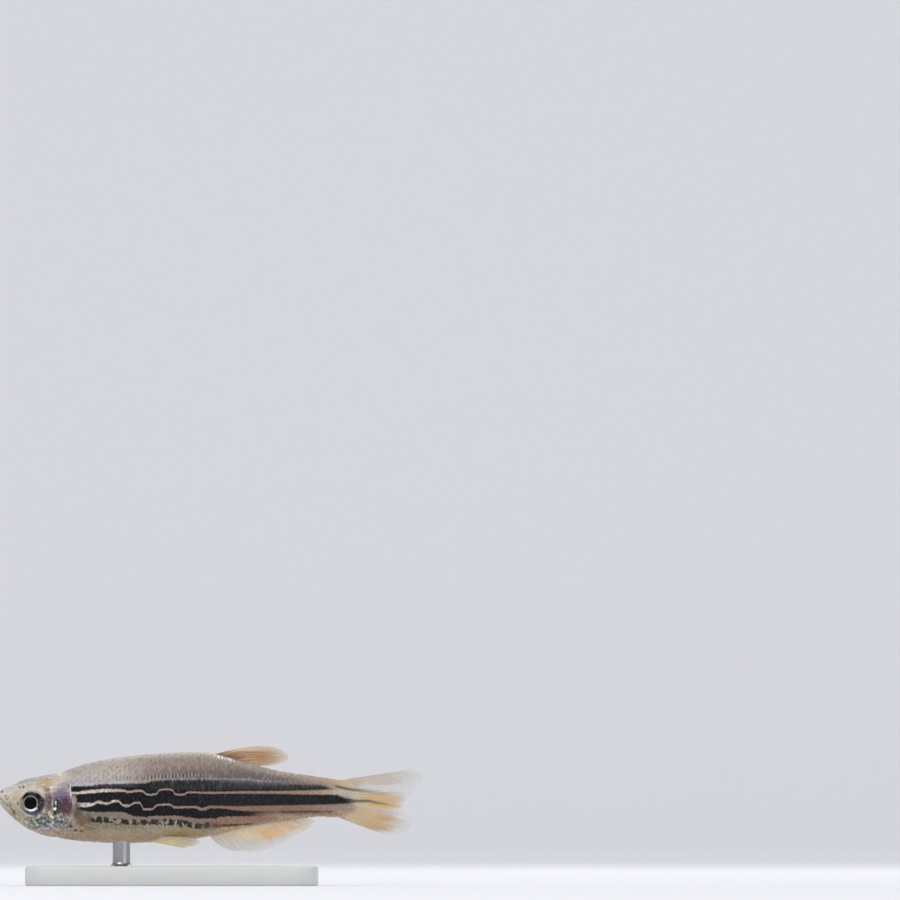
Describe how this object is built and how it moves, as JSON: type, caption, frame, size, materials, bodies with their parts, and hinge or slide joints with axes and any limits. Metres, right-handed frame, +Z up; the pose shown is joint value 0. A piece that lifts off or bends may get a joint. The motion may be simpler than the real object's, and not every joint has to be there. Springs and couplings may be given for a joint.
{
  "type": "striped danio fish model on a display stand",
  "caption": "Life-size still model of a slender striped danio swimming level, held up by a short rod on a flat base.",
  "frame": {"origin": "underside of the display base, below the middle of the fish's whole length", "axes": "+Z up, the fish's head towards -X and its tail towards +X, its left side towards -Y"},
  "size_m": [0.044, 0.016, 0.0143],
  "materials": {
    "head_skin": "moist skin, silvery olive with a golden cheek",
    "gill_cover_skin": "shiny plate, lavender to purple",
    "trunk_skin": "small scales, grey-mauve with blue-black stripes",
    "tail_skin": "small scales, blue-black stripes",
    "eye": "wet, dark iris with a thin silver ring round a black pupil",
    "fin": "thin clear membrane with fine rays, pale yellow-tan",
    "stand_steel": "brushed",
    "stand_plate": "satin light grey"
  },
  "bodies": {
    "root": {"head": "head_skin", "gill_cover_left": "gill_cover_skin", "gill_cover_right": "gill_cover_skin", "eye_left": "eye", "eye_right": "eye", "trunk": "trunk_skin", "tail": "tail_skin", "dorsal_fin": "fin", "anal_fin": "fin", "caudal_fin": "fin", "pelvic_fin_left": "fin", "pelvic_fin_right": "fin", "pectoral_fin_left": "fin", "pectoral_fin_right": "fin", "stand_rod": "stand_steel", "stand_base": "stand_plate"}
  },
  "joints": []
}
